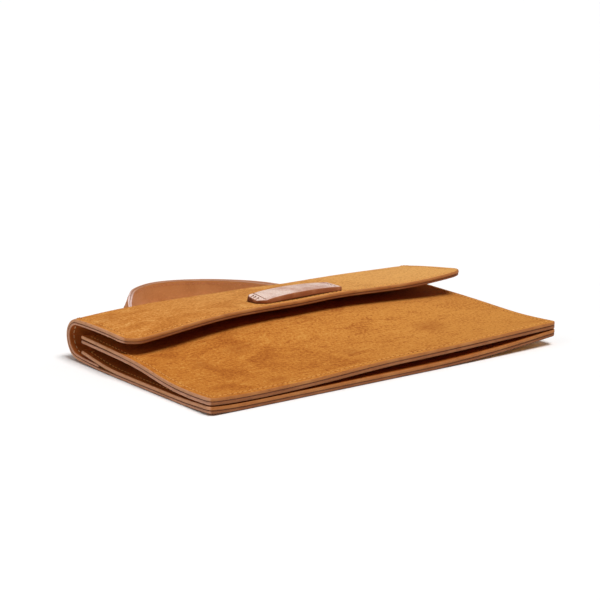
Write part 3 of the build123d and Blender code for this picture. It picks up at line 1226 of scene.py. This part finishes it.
@dataclass
class Stitches:
    """A run of stitches, as one piece."""

    name: str
    finish: Finish
    pitch: float = 0.0033
    length: float = 0.0023
    width: float = 0.00065
    flatness: float = 0.8  # a stitch's height as a share of its width
    lift: float = 0.00006
    # size of the dark bead at each stitch's end, painted as the shade in its hole
    hole: float = 0.0006
    hole_height: float = 0.00016
    slope: float = 0.3  # share of the pitch, each way, over which a stitch's direction is taken
    batch: int = 600  # more waiting vertices than this are collected
    bm: Mesh = field(default_factory=bmesh.new)
    few: Mesh = field(default_factory=bmesh.new)

    def add(self, place: Vector, run: Vector, normal: Vector) -> None:
        """Adds one stitch, and at its end a dark bead painted as the shade in its hole.

        Args:
            place: Its middle, on the surface.
            run: The way it lies.
            normal: The surface's outward normal.
        """
        across = normal.cross(run).normalized()
        ahead = run.normalized()
        up = ahead.cross(across).normalized()
        size = (self.length, self.width, self.width * self.flatness, self.lift)
        self.bead(place, ahead, across, up, size, 0)
        # The hole is a dark bead: painted shade.
        if self.hole:
            end = place + ahead * self.pitch / 2
            self.bead(end, ahead, across, up, (self.hole, self.hole, self.hole_height, 0.0), 1)

    def bead(
        self,
        place: Vector,
        run: Vector,
        across: Vector,
        up: Vector,
        size: tuple[float, float, float, float],
        index: int,
    ) -> None:
        """Adds an ellipsoid.

        Args:
            place: Its middle, on the surface.
            run: The way of its length.
            across: The way of its width.
            up: The way of its height.
            size: Its length, width, height and lift above the surface.
            index: The number of its finish.
        """
        length, width, height, lift = size
        made = bmesh.ops.create_uvsphere(self.few, u_segments=6, v_segments=6, radius=0.5)
        faces = set()
        for vert in made["verts"]:
            along, wide, high = vert.co.z, vert.co.x, vert.co.y
            vert.co = place + run * along * length + across * wide * width + up * (high * height + lift)
            faces.update(vert.link_faces)
        for face in faces:
            face.material_index = index

    def line(self, ply: Ply, start: tuple[float, float], end: tuple[float, float]) -> None:
        """Sews a straight line on a ply.

        Args:
            ply: The ply.
            start: The flat place where it starts.
            end: The flat place where it ends.
        """
        (a0, b0), (a1, b1) = start, end
        count = max(1, round(math.hypot(a1 - a0, b1 - b0) / self.pitch))
        step = self.slope / count
        for k in range(count):
            share = (k + 0.5) / count
            a, b = a0 + (a1 - a0) * share, b0 + (b1 - b0) * share
            place, normal = ply.stand(a, b)
            before = ply.point(a - (a1 - a0) * step, b - (b1 - b0) * step)
            after = ply.point(a + (a1 - a0) * step, b + (b1 - b0) * step)
            self.add(place, after - before, normal)
            if len(self.few.verts) > self.batch:
                self.collect()
        self.collect()

    def collect(self) -> None:
        """Moves the latest few stitches to the rest, because adding to a small mesh is quicker."""
        mesh = bpy.data.meshes.new("few")
        self.few.to_mesh(mesh)
        self.bm.from_mesh(mesh)
        self.few.clear()
        bpy.data.meshes.remove(mesh)

    def build(self) -> Piece:
        """Makes the piece, with nothing below the table.

        Returns:
            The piece.
        """
        for vert in self.bm.verts:
            vert.co.z = max(vert.co.z, 0.0)
        return finish_mesh(self.name, self.bm, [self.finish, HOLE_SHADE])


# ------------------------------------------------------------- sub-assemblies


@dataclass
class Wrap:
    """The back panel, fold and flap: suede outside, lining inside, sewn all round."""

    suede: float = 0.0019
    lining: float = 0.0013
    turn_reach: float = 0.0121  # how far the fold reaches behind its centre
    lining_arc: float = 0.0285
    reach_drop: float = 0.003  # how much shorter the flap is at its right end
    table_reach: float = 0.132  # flat depth of the suede that is close to the table, where it takes the painted contact shadow and painted shade
    suede_round: float = 0.0008
    panel_corner: float = 0.0035
    flap_corner: float = 0.011
    seam: float = 0.0038
    lining_seam: float = 0.0034
    corner_gap: float = 0.004  # how much further than the seam's inset the stitches stop before a corner
    hem_gap: float = 0.002  # flat depth where the lining's side seams start
    bend_low: float = 0.0092
    bend_high: float = 0.0190

    def build(self, nodes: Nodes) -> None:
        """Lays both plies and sews them.

        Args:
            nodes: The solids, by name.
        """
        low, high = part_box("back_suede")
        turn = high.y - self.turn_reach
        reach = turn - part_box("flap_suede")[0].y
        shared = dict(
            left=low.x, right=high.x, turn=turn, far_radius=self.flap_corner,
            reach_left=reach, reach_right=reach - self.reach_drop,
        )
        suede = WrapPly(
            "wrap_suede", self.suede, FLAP_SUEDE, SUEDE_EDGE, grow=-1.0, start=low.y,
            rim_round=self.suede_round, base=self.table_reach, front_radius=self.panel_corner,
            back=Skin(nodes, "back_suede"), over=Skin(nodes, "flap_suede"),
            both=Skin(nodes, "back_suede", "flap_suede"), **shared,
        )
        lining = WrapPly(
            "wrap_lining", self.lining, LINING, LEAF_EDGE, start=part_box("back_lining")[0].y,
            arc=self.lining_arc, outside=False,
            back=Skin(nodes, "back_lining"), over=Skin(nodes, "flap_lining"),
            both=Skin(nodes, "back_lining", "flap_lining"), **shared,
        )
        for ply, replaced, slot in (
            (suede, ("back_suede", "flap_suede"), "suede"),
            (lining, ("back_lining", "flap_lining"), "lining"),
        ):
            piece = ply.build()
            self.bend(piece, high.y)
            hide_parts(*replaced)
        self.sew(suede, Stitches("wrap_stitches", THREAD), self.seam, self.seam, high.y)
        inside = Stitches("lining_stitches", PALE_THREAD, width=0.0006)
        self.sew(lining, inside, self.lining_seam, self.hem_gap, high.y)

    def bend(self, piece: Piece, hinge: float) -> None:
        """Lets a piece bend with the flap."""
        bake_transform(piece, "back", "flap", start=(0, hinge, self.bend_low), end=(0, hinge, self.bend_high))

    def sew(self, ply: WrapPly, run: Stitches, seam: float, first: float, hinge: float) -> None:
        """Sews round a ply, and along its front edge too when that is the suede's.

        Args:
            ply: The ply.
            run: The stitches.
            seam: How far inside the outline they run.
            first: The flat depth where they start.
            hinge: The flap's hinge, in Y.
        """
        corner = self.seam + self.corner_gap
        ends = [ply.reach(a) - seam for a in (ply.left, ply.right)]
        run.line(ply, (ply.left + seam, first), (ply.left + seam, ends[0] - corner))
        run.line(ply, (ply.right - seam, first), (ply.right - seam, ends[1] - corner))
        run.line(ply, (ply.left + seam + corner, ends[0]), (ply.right - seam - corner, ends[1]))
        if ply.outside:
            run.line(ply, (ply.left + seam, seam), (ply.right - seam, seam))
        piece = run.build()
        self.bend(piece, hinge)


@dataclass
class Pocket:
    """The two sides of the pocket and the bellows' inner folds."""

    suede: float = 0.0019
    leaf: float = 0.0020
    corner: float = 0.0035
    seam: float = 0.0038
    wall: float = 0.0009
    wall_step: float = 0.003
    wall_rows: int = 8
    fold_depth: float = 0.0035  # how far a wall folds inwards
    unworn: float = 0.01  # distance from the rim that the walls are given, so that they have no seam
    bend_y: float = -0.0558
    bend_lean: float = 0.00023
    bend_low: float = 0.0026
    bend_high: float = 0.0066

    def build(self, nodes: Nodes) -> None:
        """Lays the leaves and the front suede, sews them and folds the bellows.

        Args:
            nodes: The solids, by name.
        """
        plies = (
            ("front_suede", self.suede, SUEDE, SUEDE_EDGE, Side.ABOVE, "front", "suede"),
            ("front_leaf", self.leaf, INNER_SUEDE, LEAF_EDGE, Side.BELOW, "front", "lining"),
            ("rear_leaf", self.leaf, INNER_SUEDE, SUEDE_EDGE, Side.ABOVE, "back", "lining"),
        )
        for node, thickness, finish, edge, side, body, slot in plies:
            low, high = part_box(node)
            ply = PanelPly(
                node + "_ply", thickness, finish, edge, left=low.x, right=high.x,
                grow=1.0 if side is Side.ABOVE else -1.0, front_radius=self.corner,
                skin=Skin(nodes, node), side=side, front=low.y, depth=high.y - low.y,
            )
            piece = ply.build()
            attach(piece, body)
            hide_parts(node)
            if node == "front_suede":
                self.sew(ply, "panel_stitches", body)
            if node == "rear_leaf":
                self.sew(ply, "leaf_stitches", body, front=False)
        rear, front = Skin(nodes, "rear_leaf"), Skin(nodes, "front_leaf")
        for node, inward in (
            ("left_fold", Vector((1, 0, 0))),
            ("front_fold", Vector((0, 1, 0))),
            ("right_fold", Vector((-1, 0, 0))),
        ):
            self.fold(node, inward, rear, front)

    def sew(self, ply: PanelPly, name: str, body: str, front: bool = True) -> None:
        """Sews a side of the pocket along its edges.

        Args:
            ply: The side's ply.
            name: The stitches' name.
            body: The body that they ride on.
            front: Whether the front edge is sewn too.
        """
        run = Stitches(name, THREAD)
        left, right = ply.left + self.seam, ply.right - self.seam
        near, far = self.seam, ply.depth - self.seam
        run.line(ply, (left, near), (left, far))
        run.line(ply, (right, near), (right, far))
        if front:
            run.line(ply, (left, near), (right, near))
        run.line(ply, (left, far), (right, far))
        piece = run.build()
        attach(piece, body)

    def fold(self, node: str, inward: Vector, rear: Skin, front: Skin) -> None:
        """Folds one wall of the bellows inwards.

        Args:
            node: The solid that it stands for.
            inward: The way it folds.
            rear: The pocket's rear side, on which it stands.
            front: The pocket's front side, which it carries.
        """
        low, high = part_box(node)
        along_x = inward.x == 0
        start, end = (low.x, high.x) if along_x else (low.y, high.y)
        bm = bmesh.new()
        count = round((end - start) / self.wall_step)
        bmesh.ops.create_grid(bm, x_segments=count, y_segments=self.wall_rows, size=1.0)
        rim = bm.verts.layers.float.new("rim")
        uv = bm.loops.layers.uv.new("flat")
        for vert in bm.verts:
            s, t = (vert.co.x + 1) / 2, (vert.co.y + 1) / 2
            run = start + (end - start) * s
            x, y = (run, low.y) if along_x else (low.x if inward.x > 0 else high.x, run)
            bottom, top = rear.height(x, y, Side.ABOVE), front.height(x, y, Side.BELOW)
            deep = self.fold_depth * math.sin(math.pi * t)
            vert.co = Vector((x, y, bottom + (top - bottom) * t)) + inward * deep
            vert[rim] = self.unworn
        for face in bm.faces:
            for loop in face.loops:
                loop[uv].uv = (loop.vert.co.x + loop.vert.co.y, loop.vert.co.z)
        bm.normal_update()
        for vert in thickened(bm):
            vert.co += inward * self.wall
        bmesh.ops.recalc_face_normals(bm, faces=bm.faces)
        piece = finish_mesh(node + "_wall", bm, [INNER_SUEDE])
        bend_start = (0, self.bend_y, self.bend_low)
        bend_end = (0, self.bend_y - self.bend_lean, self.bend_high)
        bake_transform(piece, "back", "front", start=bend_start, end=bend_end)
        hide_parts(node)


@dataclass
class TabPly(PanelPly):
    """The tab's bar: clipped and pressed down at its left end, and tipped towards the front."""

    under: Skin | None = None
    front_clip: float = 0.0045
    back_clip: float = 0.0018
    tip_left: float = 0.0011  # how far each long edge is tipped at the left end
    tip_right: float = 0.0007
    press: float = 0.0007
    press_front: float = 0.0003  # how much more the front edge is pressed down
    press_run: float = 0.011
    clear: float = 0.00015  # least gap between the underside and the flap
    droop: float = 0.55  # share of the bow that the underside keeps

    def cut(self, a: float, b: float) -> tuple[float, float]:
        """Draws the left end in to its clipped width.

        Args:
            a: Flat place along the length.
            b: Flat place from the front edge.

        Returns:
            The flat place, moved.
        """
        front = max(0.0, self.front_clip - (a - self.left))
        back = max(0.0, self.back_clip - (a - self.left))
        return a, front + b * (1 - (front + back) / self.depth)

    def point(self, a: float, b: float) -> Vector:
        """Drops the flat place onto the bar and tips it.

        Args:
            a: Flat place along the length.
            b: Flat place from the front edge.

        Returns:
            The place.
        """
        place = super().point(a, b)
        along = (a - self.left) / (self.right - self.left)
        across = 2 * b / self.depth - 1
        tip = self.tip_left + (self.tip_right - self.tip_left) * along
        pressed = self.press + self.press_front * (1 - across) / 2
        end = max(0.0, 1 - (a - self.left) / self.press_run) ** 2
        place.z += across * tip - end * pressed
        return place

    def thicken(self, bm: Mesh) -> None:
        """Adds the underside, which lies on the flap at the ends and bows up a little between.

        Args:
            bm: The sheet.
        """
        super().thicken(bm)
        near = bm.verts.layers.float["near"]
        for vert in bm.verts:
            if vert[near] == 0.0:
                flap = self.under.height(vert.co.x, vert.co.y, Side.ABOVE) + self.clear
                vert.co.z = flap + max(0.0, vert.co.z - flap) * self.droop


@dataclass
class Tab:
    """The bowed leather pull tab and its stitches."""

    thickness: float = 0.003
    stitch_inset: float = 0.00035  # from the solid threads' outer side to the middle of their row
    row_over: float = 0.0004  # how far a row runs past its solid threads
    row_shift: float = 0.0025  # how much nearer its end the left row is
    worn_hole: float = 0.0011
    whip_inset: float = 0.0010
    whips: tuple[float, ...] = (0.0062, 0.0088, 0.0112)  # flat depths of the whip stitches
    whip_way: tuple[float, float, float] = (1.0, 0.0, 0.5)

    def build(self, nodes: Nodes) -> None:
        """Cuts the tab and sews its ends.

        Args:
            nodes: The solids, by name.
        """
        low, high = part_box("flap_tab")
        ply = TabPly(
            "pull_tab", self.thickness, TAB, TAB_EDGE, left=low.x, right=high.x,
            rim_round=0.0006, ripple=0.00006, coarse=0.0015, margin=0.003,
            skin=Skin(nodes, "flap_tab"), front=low.y, depth=high.y - low.y,
            under=Skin(nodes, "flap_suede"),
        )
        piece = ply.build()
        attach(piece, "flap")
        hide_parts("flap_tab")
        threads = self.sew(ply)
        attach(threads, "flap")
        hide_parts("tab_stitches")

    def sew(self, ply: TabPly) -> Piece:
        """Sews both ends, and the whip stitches at the worn left end.

        Args:
            ply: The tab.

        Returns:
            The threads.
        """
        run = Stitches("tab_threads", TAB_THREAD, pitch=0.0034, length=0.0026, width=0.0008, hole=0.0)
        low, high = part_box("tab_stitches")
        front, back = low.y - ply.front - self.row_over, high.y - ply.front + self.row_over
        right_row = high.x - self.stitch_inset
        left_row = low.x + self.stitch_inset - self.row_shift
        run.line(ply, (right_row, front), (right_row, back))
        run.hole = self.worn_hole
        run.line(ply, (left_row, front), (left_row, back))
        for b in self.whips:
            place, normal = ply.stand(ply.left + self.whip_inset, b)
            run.add(place, Vector(self.whip_way), normal)
        run.collect()
        return run.build()


class Path:
    """A smooth line through spots, with a lean from upright at each."""

    nudge = 0.0005  # half the distance over which the line's direction is taken

    def __init__(self, spots: list[Vector], leans: list[float]) -> None:
        """Measures the line.

        Args:
            spots: The places that it passes.
            leans: The lean at each, in degrees.
        """
        self.spots = spots
        self.leans = leans
        gaps = [(q - p).length for p, q in zip(spots, spots[1:])]
        self.marks = [sum(gaps[:k]) for k in range(len(spots))]
        self.length = self.marks[-1]

    def slope(self, values: list[float | Vector], k: int) -> float | Vector:
        """Rate of change of values at a spot."""
        low, high = max(k - 1, 0), min(k + 1, len(values) - 1)
        return (values[high] - values[low]) / (self.marks[high] - self.marks[low])

    def at(self, values: list[float | Vector], s: float) -> float | Vector:
        """Reads a value between its spots, along a cubic curve.

        Args:
            values: The value at each spot.
            s: The distance along the line.

        Returns:
            The value there.
        """
        s = min(max(s, 0.0), self.length)
        k = max(i for i in range(len(self.marks) - 1) if self.marks[i] <= s)
        gap = self.marks[k + 1] - self.marks[k]
        t = (s - self.marks[k]) / gap
        leaving, arriving = self.slope(values, k) * gap, self.slope(values, k + 1) * gap
        start = values[k] * (2 * t**3 - 3 * t**2 + 1) + leaving * (t**3 - 2 * t**2 + t)
        return start + values[k + 1] * (3 * t**2 - 2 * t**3) + arriving * (t**3 - t**2)

    def frame(self, s: float) -> tuple[Vector, Vector, Vector]:
        """Finds how a band on the line lies.

        Args:
            s: The distance along the line.

        Returns:
            The middle, the width direction and the outward direction.
        """
        middle = self.at(self.spots, s)
        run = (self.at(self.spots, s + self.nudge) - self.at(self.spots, s - self.nudge)).normalized()
        lean = math.radians(self.at(self.leans, s))
        inward = Vector((run.y, -run.x, 0)).normalized()
        wide = inward * math.sin(lean) + Vector((0, 0, math.cos(lean)))
        wide = (wide - run * wide.dot(run)).normalized()
        return middle, wide, run.cross(wide)


@dataclass
class StrapPly(Ply):
    """One ply of the strap."""

    path: Path | None = None
    depth: float = 0.017
    offset: float = 0.0

    def reach(self, a: float) -> float:
        """The strap's width."""
        return self.depth

    def point(self, a: float, b: float) -> Vector:
        """Place on the ply's outward face."""
        middle, wide, out = self.path.frame(a)
        return middle + wide * (b - self.depth / 2) + out * self.offset

    def pushed(self, place: Vector, b: float, look_a: float, look_b: float) -> tuple[float, float]:
        """Leaves the place as it is, because nothing is looked up inside the outline."""
        return place.y, place.z


@dataclass
class Strap:
    """The carrying strap: two plies on edge that twist flat where they enter the fold."""

    width: float = 0.017
    ply: float = 0.0012
    glue: float = 0.0002
    seam: float = 0.0021
    tuck: float = 0.0026  # how far its ends run on into the fold
    sewn_from: float = 0.004
    line: tuple[tuple[float, float, float, float], ...] = (
        # in mm from the left end, behind the hinge and above the table, then the lean in degrees
        (43.0, 0.0, 6.0, 90.0),
        (44.0, 7.0, 6.0, 84.0),
        (48.0, 17.0, 6.9, 62.0),
        (56.5, 30.0, 8.3, 40.0),
        (69.5, 48.5, 9.1, 27.0),
        (86.0, 65.2, 9.4, 14.0),
        (108.0, 72.6, 9.3, 8.0),
        (133.0, 65.2, 9.1, 9.0),
        (157.0, 48.0, 8.9, 17.0),
        (178.0, 30.0, 8.4, 41.0),
        (191.0, 17.0, 6.9, 62.0),
        (195.2, 7.0, 6.0, 84.0),
        (196.0, 0.0, 6.0, 90.0),
    )

    def path(self, hinge: float, left: float) -> Path:
        """Runs the strap's line, with its ends tucked into the fold.

        Args:
            hinge: Where the strap's ends turn, in Y.
            left: The purse's left end, in X.

        Returns:
            The line.
        """
        spots = [Vector((left + u * MM, hinge + d * MM, z * MM)) for u, d, z, _ in self.line]
        tucked = Vector((0, self.tuck, 0))
        spots = [spots[0] - tucked, *spots, spots[-1] - tucked]
        leans = [row[3] for row in self.line]
        return Path(spots, [leans[0], *leans, leans[-1]])

    def build(self, hinge: float, left: float) -> None:
        """Bends both plies along the strap's line and sews them.

        Args:
            hinge: Where the strap's ends turn, in Y.
            left: The purse's left end, in X.
        """
        path = self.path(hinge, left)
        surface = (self.ply + self.glue) / 2 + self.ply / 2
        for side, node in ((1, "strap_outer"), (-1, "strap_inner")):
            ply = StrapPly(
                node + "_ply", self.ply, STRAP, STRAP_EDGE, left=0.0, right=path.length,
                grow=float(side), rim_round=0.0002, far_round=0.0001, ripple=0.00005,
                fine=0.0008, coarse=0.0018, margin=0.003, inset=0.0,
                path=path, depth=self.width, offset=side * surface,
            )
            piece = ply.build()
            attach(piece, "strap")
            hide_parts(node)
            run = Stitches(
                node + "_stitches", STRAP_THREAD, pitch=0.0034, length=0.0022, width=0.0005, hole=0.0
            )
            for b in (self.seam, self.width - self.seam):
                run.line(ply, (self.sewn_from, b), (path.length - self.sewn_from, b))
            threads = run.build()
            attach(threads, "strap")


# --------------------------------------------------------------------- studio


@dataclass
class Studio:
    """Floor, soft light and camera."""

    sky: float = 0.06
    sky_colour: Colour = (1.0, 0.985, 0.965)
    table_colour: Colour = (0.93, 0.93, 0.93)
    table_size: float = 8.0
    suns: tuple[tuple[str, float, float, tuple[float, float, float]], ...] = (
        # name, strength, width in degrees, and the way to it
        ("key", 2.78, 28.0, (0.04, -0.42, 1.0)),
        ("dome", 0.45, 80.0, (-0.15, 0.1, 1.0)),
        ("side", 0.50, 40.0, (-1.0, 0.1, 0.5)),
        ("back", 0.32, 40.0, (1.0, -0.15, 0.48)),
    )
    lens: float = 120.0  # in mm, as is the sensor's width
    sensor: float = 36.0
    camera_place: tuple[float, float, float] = (-0.69272, -0.91407, 0.30454)
    yaw: float = 36.724
    pitch: float = 13.397

    def build(self) -> None:
        """Sets the studio up."""
        scene = bpy.context.scene
        scene.view_settings.view_transform = "Standard"
        world = bpy.data.worlds.new("studio")
        scene.world = world
        world.use_nodes = True
        background = world.node_tree.nodes["Background"]
        background.inputs["Color"].default_value = (*self.sky_colour, 1.0)
        background.inputs["Strength"].default_value = self.sky
        self.floor()
        for name, strength, width, way in self.suns:
            self.sun(name, strength, width, way)
        self.camera()

    def floor(self) -> None:
        """Lays the white table."""
        bm = bmesh.new()
        bmesh.ops.create_grid(bm, x_segments=4, y_segments=4, size=self.table_size)
        floor = finish_mesh("floor", bm, [])
        material = bpy.data.materials.new("white table")
        material.use_nodes = True
        shader = material.node_tree.nodes["Principled BSDF"]
        graph = Graph(material.node_tree)
        graph.fill(shader, Base_Color=self.table_colour, Roughness=0.9, Specular_IOR_Level=0.1)
        floor.data.materials.append(material)

    def sun(self, name: str, strength: float, width: float, way: tuple[float, float, float]) -> None:
        """Adds a wide, soft light.

        Args:
            name: Its name.
            strength: Its strength.
            width: The angle that it fills, in degrees.
            way: The way to it.
        """
        light = bpy.data.lights.new(name, "SUN")
        light.energy = strength
        light.angle = math.radians(width)
        lamp = bpy.data.objects.new(name, light)
        lamp.rotation_mode = "QUATERNION"
        lamp.rotation_quaternion = Vector(way).to_track_quat("Z", "Y")
        bpy.context.scene.collection.objects.link(lamp)

    def camera(self) -> None:
        """Stands the camera to the left of the purse, a little above it."""
        data = bpy.data.cameras.new("camera")
        data.sensor_width = self.sensor
        data.lens = self.lens
        data.clip_end = 30.0
        yaw, pitch = math.radians(self.yaw), math.radians(self.pitch)
        level = math.cos(pitch)
        way = Vector((math.sin(yaw) * level, math.cos(yaw) * level, -math.sin(pitch)))
        camera = bpy.data.objects.new("camera", data)
        camera.location = self.camera_place
        camera.rotation_mode = "QUATERNION"
        camera.rotation_quaternion = way.to_track_quat("-Z", "Y")
        bpy.context.scene.collection.objects.link(camera)
        bpy.context.scene.camera = camera


def main() -> None:
    """Builds the purse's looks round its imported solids."""
    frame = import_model()
    nodes = frame["nodes"]
    hinges = {joint["name"]: joint["pos_m"] for joint in frame["joints"]}
    Studio().build()
    Wrap().build(nodes)
    Pocket().build(nodes)
    Tab().build(nodes)
    Strap().build(hinges["strap_swing"][1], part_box("back_suede")[0].x)
    for name in ("front_magnet", "flap_magnet"):
        nodes[name].data.materials.clear()
        nodes[name].data.materials.append(NICKEL.material())


if __name__ == "__main__":
    main()
